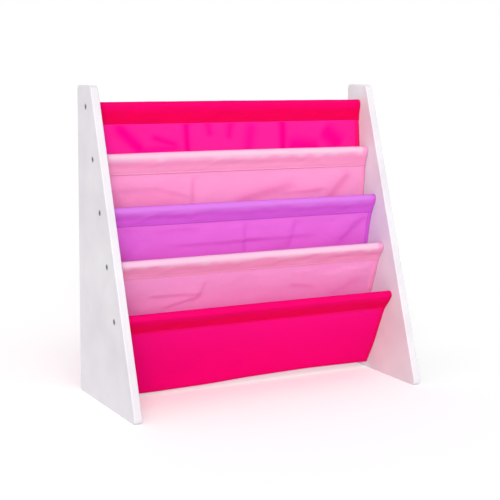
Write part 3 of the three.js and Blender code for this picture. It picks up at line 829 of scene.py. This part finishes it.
def sewn_cloth(name, rows, columns, material, replaced, thread):
    """One whole cloth of the sling, with its hems and its seams."""
    across = np.linspace(0, 1, columns + 1)[None, :]
    place, out, front = (np.array([list(row[key]) for row in rows])[:, None, :]
                         for key in ("place", "out", "front"))
    below, role, roll = (np.array([row[key] for row in rows])[:, None] for key in ("below", "role", "roll"))
    below = below + 0 * across
    flat_x = (across - 0.5) * 2 * CLOTH_HALF + 0 * below
    steps = np.linalg.norm(np.diff(place[:, 0, :], axis=0), axis=1)
    flat_length = np.concatenate([[0], np.cumsum(steps)])[:, None] + 0 * across
    tier = np.array([row["k"] for row in rows])
    own_rods = sorted(set(tier.tolist()))

    rise, bulge, draw, hem, contact, crease_shade, flap_shade = (np.zeros_like(below) for _ in range(7))
    for k in own_rods:
        own = tier == k
        x, t, kind = flat_x[own], below[own], role[own]
        rise[own] = sling_relief(k, x, t) * ((kind != "rod") & (kind != "fold"))
        bulge[own] = sleeve_bulge(k, x, t, kind, roll[own], across)
        draw[own] = np.interp(t, *SIDE_DRAW[k])
        hem[own] = turned_hem(k, x, t, kind)
        contact[own] = rod_contact(k, x, t, kind)
        # Painted shade along the dark creases of the wall.
        crease_shade[own] = (kind == "wall") * painted_crease_shade(k, x, t)
        # Painted shade on the wall just below the flap's edge.
        deeper, reach = FLAP_SHADE[k]
        flap_shade[own] = (kind == "wall") * deeper * eased(FLAP_ENDS[k] + reach, FLAP_ENDS[k], t)
    hem = np.maximum(hem, role == "hem")
    doubled_and_shade = np.maximum(hem, np.isin(role, ("flap", "rod", "back")))
    # The painted shade below the flaps and along dark creases takes the colour and the lesser sheerness of
    # doubled cloth.
    doubled_and_shade = np.maximum(doubled_and_shade, np.maximum(flap_shade, CREASE_SHADE_IN_COLOUR * crease_shade))

    # The sag of the bottom fold is shared out over the back sheet and the front sheet.
    start = np.array(FLAP_ENDS)[tier][:, None]
    share = np.clip((below - start) / (np.array(lengths)[tier][:, None] - start), 0, 1)
    slide = share * sagged(across) * np.isin(tier, (0, RODS - 1))[:, None]
    side = place + front * rise[..., None] + out * bulge[..., None]
    side = side + np.array(list(down_back)) * slide[..., None]
    x = flat_x * (1 - draw / CLOTH_HALF)
    points = np.concatenate([x[..., None], side], axis=2) * MM

    flat = np.stack([flat_x, flat_length], axis=2) * MM
    painted = {"doubled_and_shade": doubled_and_shade, "over_rod": contact, "crease_shade": crease_shade}
    mesh, where = cloth_grid(name, points, flat, painted)
    cloth = new_piece(name, mesh, material)
    group = cloth.vertex_groups.new(name="turned_hem")
    group.add(np.flatnonzero(hem[where] > 0).tolist(), 1, "REPLACE")
    wall = cloth.modifiers.new("thickness", "SOLIDIFY")
    wall.thickness, wall.offset = HEM_CLOTH * MM, 0
    wall.vertex_group, wall.thickness_vertex_group = group.name, CLOTH / HEM_CLOTH
    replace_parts(cloth, *replaced)

    marks = seam_marks(rows, flat_x[0], points / MM, cloth_seams(own_rods))
    seam_thread = stitches(name + "_stitches", marks, thread)


sewn_cloth("main_sling", main_rows(), MAIN_COLUMNS, magenta,
           ["sleeve_1", "back_sheet", "bottom_fold", "front_sheet", "sleeve_5"], magenta_thread)
sewn_cloth("upper_pocket_divider", divider_rows(1), DIVIDER_COLUMNS, light_pink,
           ["sleeve_2", "upper_divider"], pale_thread)
sewn_cloth("middle_pocket_divider", divider_rows(2), DIVIDER_COLUMNS, purple,
           ["sleeve_3", "middle_divider"], purple_thread)
sewn_cloth("lower_pocket_divider", divider_rows(3), DIVIDER_COLUMNS, light_pink,
           ["sleeve_4", "lower_divider"], pale_thread)

# Studio: a white floor in white surroundings, and soft light from the front, the left and above. A lamp is
# its name, where it shines from, its width in degrees and its level.
AMBIENT = 0.59
FLOOR_HALF = 20  # metres
FLOOR_LIFT = 0.23
LAMPS = [
    ("top_soft_box", (-0.1, -0.8, 1), 20, 0.08),
    ("front_soft_box", (-0.5, -0.9, 0.35), 25, 0.38),
    ("low_soft_box", (-0.3, -1, 0.1), 30, 0.22),
    ("left_soft_box", (-1, -0.3, 0.4), 90, 0.15),
]


def studio_world():
    """Even light from all sides, which looks fully white to the camera, in gloss and through glass."""
    world = bpy.data.worlds.new("studio")
    bpy.context.scene.world = world
    world.use_nodes = True
    tree = world.node_tree
    tree.nodes.clear()
    rays = add(tree, "ShaderNodeLightPath").outputs
    direct = add(tree, "ShaderNodeMath", links={0: rays["Is Camera Ray"], 1: rays["Is Glossy Ray"]},
                 operation="MAXIMUM")
    seen = add(tree, "ShaderNodeMath", links={0: direct.outputs[0], 1: rays["Is Transmission Ray"]},
               operation="MAXIMUM")
    strength = add(tree, "ShaderNodeMapRange", {"To Min": AMBIENT, "To Max": 1}, {"Value": seen.outputs[0]})
    sky = add(tree, "ShaderNodeBackground", {"Color": (1, 1, 1, 1)}, {"Strength": strength.outputs[0]})
    add(tree, "ShaderNodeOutputWorld", links={"Surface": sky.outputs[0]})


def floor_paper():
    """White studio paper. Its own faint glow to the camera lifts the open floor to white and leaves the
    rack's shadow."""
    material, tree = new_tree("white_studio_paper")
    rays = add(tree, "ShaderNodeLightPath").outputs
    paper = add(tree, "ShaderNodeBsdfDiffuse", {"Color": hex_colour("#F6F6F6")})
    lift = add(tree, "ShaderNodeMath", {1: FLOOR_LIFT}, {0: rays["Is Camera Ray"]}, operation="MULTIPLY")
    glow = add(tree, "ShaderNodeEmission", {"Color": (1, 1, 1, 1)}, {"Strength": lift.outputs[0]})
    both = add(tree, "ShaderNodeAddShader", links={0: paper.outputs[0], 1: glow.outputs[0]})
    add(tree, "ShaderNodeOutputMaterial", links={"Surface": both.outputs[0]})
    return material


def soft_light(name, shines_from, width, level):
    """A wide, far soft box: level is the share of full white that it gives to a face turned to it."""
    data = bpy.data.lights.new(name, "SUN")
    data.angle = radians(width)
    data.energy = level * pi
    lamp = bpy.data.objects.new(name, data)
    lamp.rotation_euler = Vector(shines_from).to_track_quat("Z", "Y").to_euler()
    bpy.context.scene.collection.objects.link(lamp)


studio_world()
for lamp_values in LAMPS:
    soft_light(*lamp_values)

bm = bmesh.new()
bmesh.ops.create_grid(bm, x_segments=1, y_segments=1, size=FLOOR_HALF)
floor_mesh = bpy.data.meshes.new("floor")
bm.to_mesh(floor_mesh)
bm.free()
floor = bpy.data.objects.new("floor", floor_mesh)
floor_mesh.materials.append(floor_paper())
bpy.context.scene.collection.objects.link(floor)
